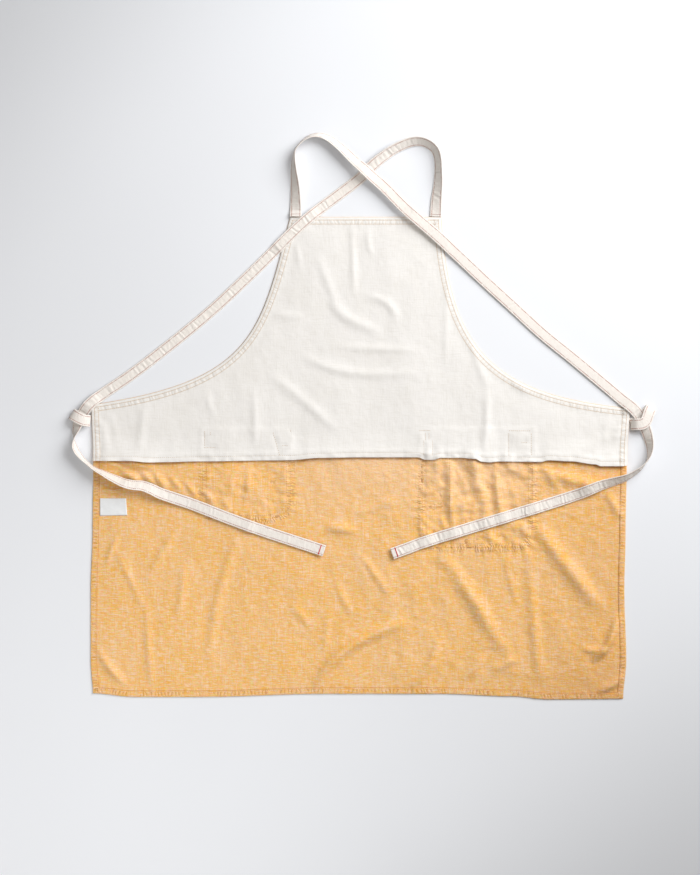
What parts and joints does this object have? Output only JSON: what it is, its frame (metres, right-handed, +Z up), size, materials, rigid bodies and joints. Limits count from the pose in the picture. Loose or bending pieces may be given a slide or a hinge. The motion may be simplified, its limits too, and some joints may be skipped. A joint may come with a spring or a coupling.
{
  "type": "cross-back apron",
  "caption": "Cross-back work apron lying flat, inside up: ochre panel with cream bib lining, patch pockets, crossing straps through side loops, and a blank label.",
  "frame": {"origin": "middle of the apron's box, on the surface it lies on", "axes": "+X across the apron to the right as it lies inside up, +Y from the skirt hem to the bib, +Z up"},
  "size_m": [0.9388, 0.9062, 0.0223],
  "materials": {
    "ochre_chambray": "matte slubbed weave",
    "cream_cotton": "matte plain weave",
    "cream_tape": "matte edge-stitched cotton",
    "label_cloth": "smooth satin ribbon"
  },
  "bodies": {
    "root": {"body_panel": "ochre_chambray", "bib_lining": "cream_cotton", "pocket_large": "ochre_chambray", "pocket_small": "ochre_chambray", "strap_left": "cream_tape", "strap_right": "cream_tape", "side_loop_left": "cream_tape", "side_loop_right": "cream_tape", "care_label": "label_cloth"}
  },
  "joints": []
}
